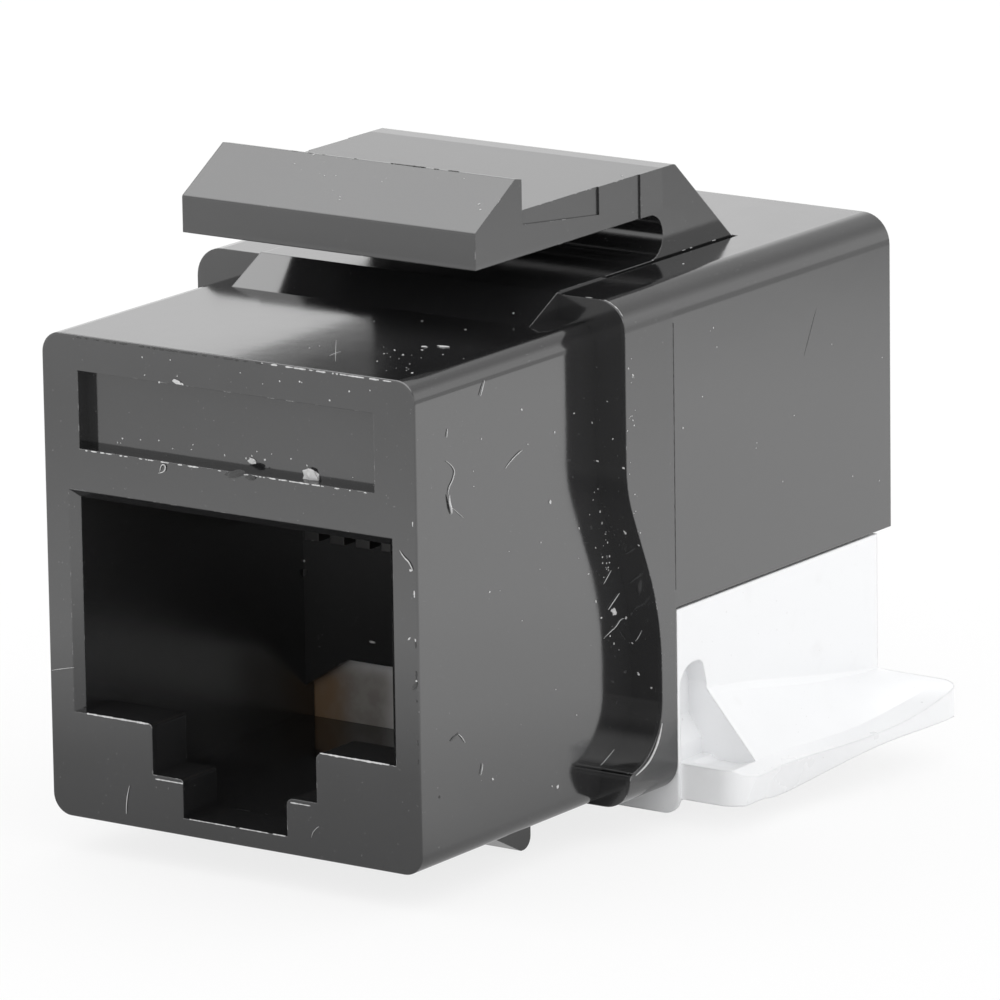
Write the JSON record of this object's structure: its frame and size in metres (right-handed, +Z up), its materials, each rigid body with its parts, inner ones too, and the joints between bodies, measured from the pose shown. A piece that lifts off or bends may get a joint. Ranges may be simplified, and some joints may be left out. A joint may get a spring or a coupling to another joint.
{
  "type": "keystone jack",
  "caption": "Snap-in network socket with a spring latch over a stepped plug port, a square flange, a rear cover and a flared white wire cap underneath.",
  "frame": {"origin": "under the middle of the jack, at the height of the fixed lug's lowest edge", "axes": "+Y points from the plug port to the rear cover, +Z up towards the spring latch, +X to the right seen from the port"},
  "size_m": [0.023, 0.0256, 0.0219],
  "materials": {
    "black_plastic": "semi-gloss moulded",
    "black_insert": "matt moulded",
    "white_plastic": "semi-gloss moulded",
    "gold_contact": "gold plated",
    "tinned_blade": "tin plated",
    "green_board": "solder mask"
  },
  "bodies": {
    "jack": {"front_housing": "black_plastic", "rear_cover": "black_plastic", "contact_carrier": "black_insert", "contact_1": "gold_contact", "contact_2": "gold_contact", "contact_3": "gold_contact", "contact_4": "gold_contact", "contact_5": "gold_contact", "contact_6": "gold_contact", "contact_7": "gold_contact", "contact_8": "gold_contact", "circuit_board": "green_board", "connector_block": "white_plastic", "connector_blade_1": "tinned_blade", "connector_blade_2": "tinned_blade", "connector_blade_3": "tinned_blade", "connector_blade_4": "tinned_blade", "connector_blade_5": "tinned_blade", "connector_blade_6": "tinned_blade", "connector_blade_7": "tinned_blade", "connector_blade_8": "tinned_blade"},
    "cap": {"wire_cap": "white_plastic"}
  },
  "joints": [
    {"name": "cap_pull", "type": "slide", "parent": "jack", "child": "cap", "axis": [0, 0, -1], "range_m": [0, 0.012]}
  ]
}
